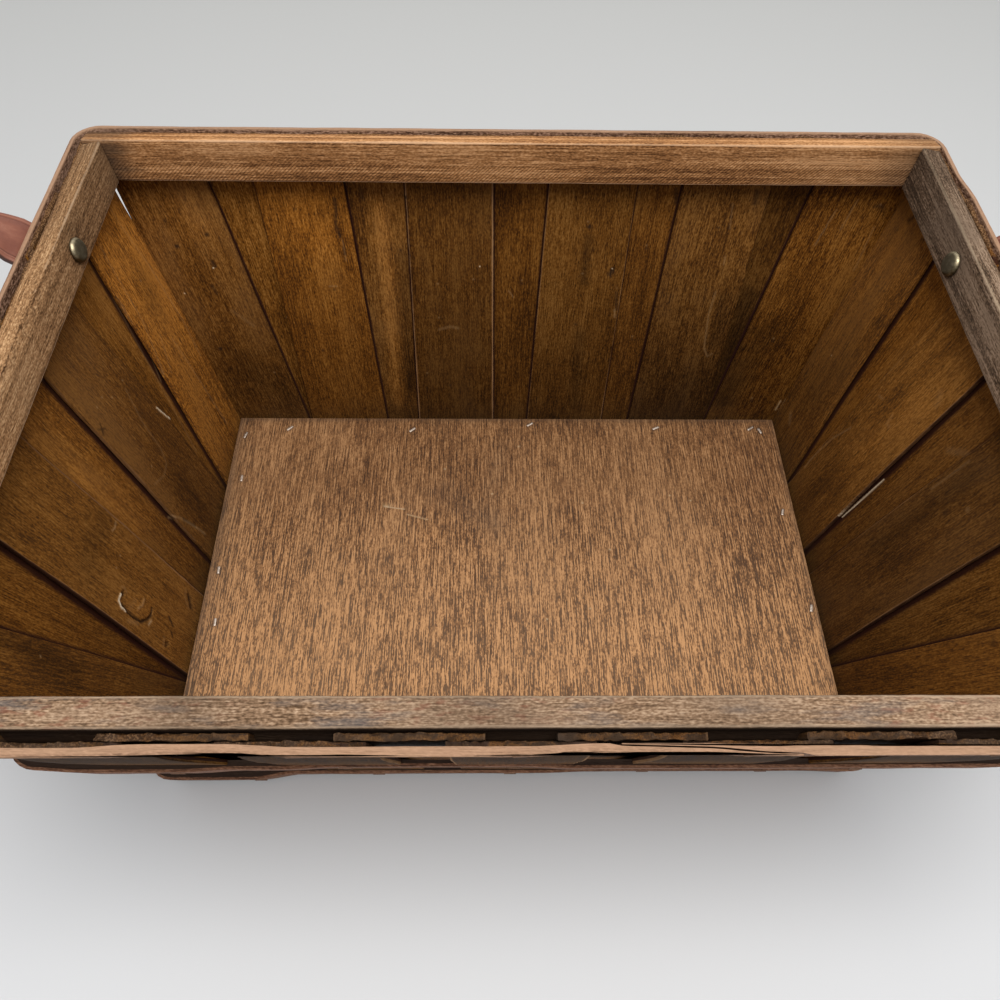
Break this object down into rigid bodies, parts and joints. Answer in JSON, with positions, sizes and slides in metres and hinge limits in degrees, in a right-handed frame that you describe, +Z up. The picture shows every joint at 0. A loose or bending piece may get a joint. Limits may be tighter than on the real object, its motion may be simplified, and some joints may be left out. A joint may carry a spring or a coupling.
{
  "type": "slat basket",
  "caption": "Rectangular wooden basket of lapped upright slats with flared sides, bent outer bands, a flat floor board and swinging leather strap handles at the ends.",
  "frame": {"origin": "on the floor under the middle of the basket, at the centre of the bounding box's underside", "axes": "+X along the long sides towards the right end, +Y from the near long side to the far one, +Z up"},
  "size_m": [0.6342, 0.3534, 0.2527],
  "materials": {
    "slat_amber": "old oiled veneer, satin",
    "slat_brown": "old oiled veneer, satin",
    "slat_honey": "old oiled veneer, satin",
    "slat_umber": "old oiled veneer, greyed",
    "rail_far": "rough sawn, worn smooth on top",
    "rail_near": "rough sawn, greyed and stained",
    "rail_left": "rough sawn, greyed",
    "rail_right": "rough sawn, dark and scratched",
    "batten": "rough sawn softwood",
    "board": "open-grained plywood, worn",
    "band": "bent ash splint, satin",
    "leather": "red-brown saddle leather, waxed",
    "brass": "aged brass with rubbed rims"
  },
  "bodies": {
    "basket": {"far_slat_inner_1": "slat_umber", "far_slat_inner_2": "slat_amber", "far_slat_inner_3": "slat_brown", "far_slat_inner_4": "slat_honey", "far_slat_inner_5": "slat_umber", "far_slat_inner_6": "slat_amber", "far_slat_outer_1": "slat_honey", "far_slat_outer_2": "slat_umber", "far_slat_outer_3": "slat_amber", "far_slat_outer_4": "slat_brown", "far_slat_outer_5": "slat_honey", "near_slat_inner_1": "slat_umber", "near_slat_inner_2": "slat_amber", "near_slat_inner_3": "slat_brown", "near_slat_inner_4": "slat_honey", "near_slat_inner_5": "slat_umber", "near_slat_inner_6": "slat_amber", "near_slat_outer_1": "slat_honey", "near_slat_outer_2": "slat_umber", "near_slat_outer_3": "slat_amber", "near_slat_outer_4": "slat_brown", "near_slat_outer_5": "slat_honey", "left_slat_inner_1": "slat_brown", "left_slat_inner_2": "slat_honey", "left_slat_inner_3": "slat_umber", "left_slat_inner_4": "slat_amber", "left_slat_outer_1": "slat_amber", "left_slat_outer_2": "slat_brown", "left_slat_outer_3": "slat_honey", "right_slat_inner_1": "slat_brown", "right_slat_inner_2": "slat_honey", "right_slat_inner_3": "slat_umber", "right_slat_inner_4": "slat_amber", "right_slat_outer_1": "slat_amber", "right_slat_outer_2": "slat_brown", "right_slat_outer_3": "slat_honey", "top_rail_far": "rail_far", "top_rail_near": "rail_near", "top_rail_left": "rail_left", "top_rail_right": "rail_right", "floor_batten_far": "batten", "floor_batten_near": "batten", "floor_batten_left": "batten", "floor_batten_right": "batten", "floor_board": "board", "rim_band": "band", "middle_band": "band", "foot_band": "band", "handle_tab_left_far": "leather", "handle_tab_left_near": "leather", "handle_tab_right_far": "leather", "handle_tab_right_near": "leather", "handle_rivet_left_far": "brass", "handle_rivet_left_near": "brass", "handle_rivet_right_far": "brass", "handle_rivet_right_near": "brass"},
    "handle_left": {"handle_loop_left": "leather"},
    "handle_right": {"handle_loop_right": "leather"}
  },
  "joints": [
    {"name": "handle_left_swing", "type": "hinge", "parent": "basket", "child": "handle_left", "pos_m": [-0.24896, 0.003, 0.1972], "axis": [0, 1, 0], "range_deg": [-80, 52]},
    {"name": "handle_right_swing", "type": "hinge", "parent": "basket", "child": "handle_right", "pos_m": [0.24896, -0.003, 0.1972], "axis": [0, -1, 0], "range_deg": [-80, 52]}
  ]
}
